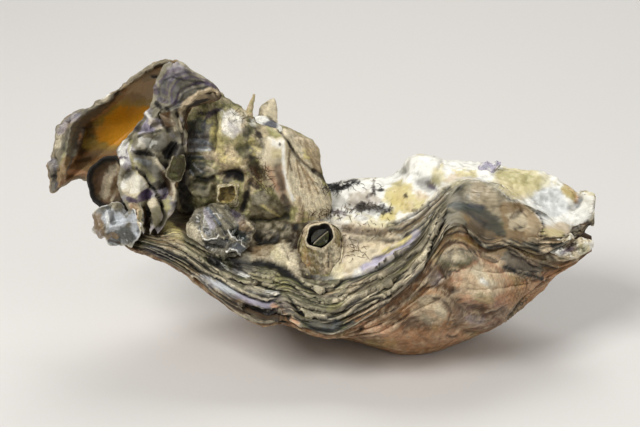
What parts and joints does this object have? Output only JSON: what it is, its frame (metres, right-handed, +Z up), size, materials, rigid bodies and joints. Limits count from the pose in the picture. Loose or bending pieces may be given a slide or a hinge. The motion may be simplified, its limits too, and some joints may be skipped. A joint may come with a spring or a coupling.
{
  "type": "pacific oyster",
  "caption": "Large closed wild oyster lying on its cupped valve, with a crinkled upturned end, an empty open valve, young shells and barnacles grown on it.",
  "frame": {"origin": "bottom centre of the whole, on the ground under it", "axes": "+X along the shell from its crowded left end to its bare right end, -Y the side with the layered edges of the valves, +Z up"},
  "size_m": [0.1628, 0.0606, 0.0908],
  "materials": {
    "belly_shell": "matte, mottled chalky shell",
    "deck_shell": "matte layered shell, bleached on its deck",
    "algae_shell": "matte rough shell with algae",
    "open_shell": "satin inner shell, rough grey rim",
    "fluted_shell": "satin striped shell",
    "dark_shell": "satin, black edge",
    "leaf_shell": "satin olive shell",
    "round_shell": "glossy grey shell",
    "pearly_shell": "glossy blue-grey shell",
    "barnacle_wall": "matte chalky ribbed wall",
    "barnacle_plate": "satin dark plates",
    "small_barnacle": "matte yellowish wall",
    "grey_chip": "satin grey chip",
    "end_chip": "matte white broken shell"
  },
  "bodies": {
    "root": {"lower_valve": "belly_shell", "upper_valve": "deck_shell", "knob_oyster": "algae_shell", "open_valve": "open_shell", "fluted_valve": "fluted_shell", "dark_rimmed_valve": "dark_shell", "leaf_shell": "leaf_shell", "round_shell": "round_shell", "pearly_shell": "pearly_shell", "large_barnacle": "barnacle_wall", "barnacle_plate_left": "barnacle_plate", "barnacle_plate_right": "barnacle_plate", "small_barnacle": "small_barnacle", "grey_chip": "grey_chip", "end_chip": "end_chip"}
  },
  "joints": []
}
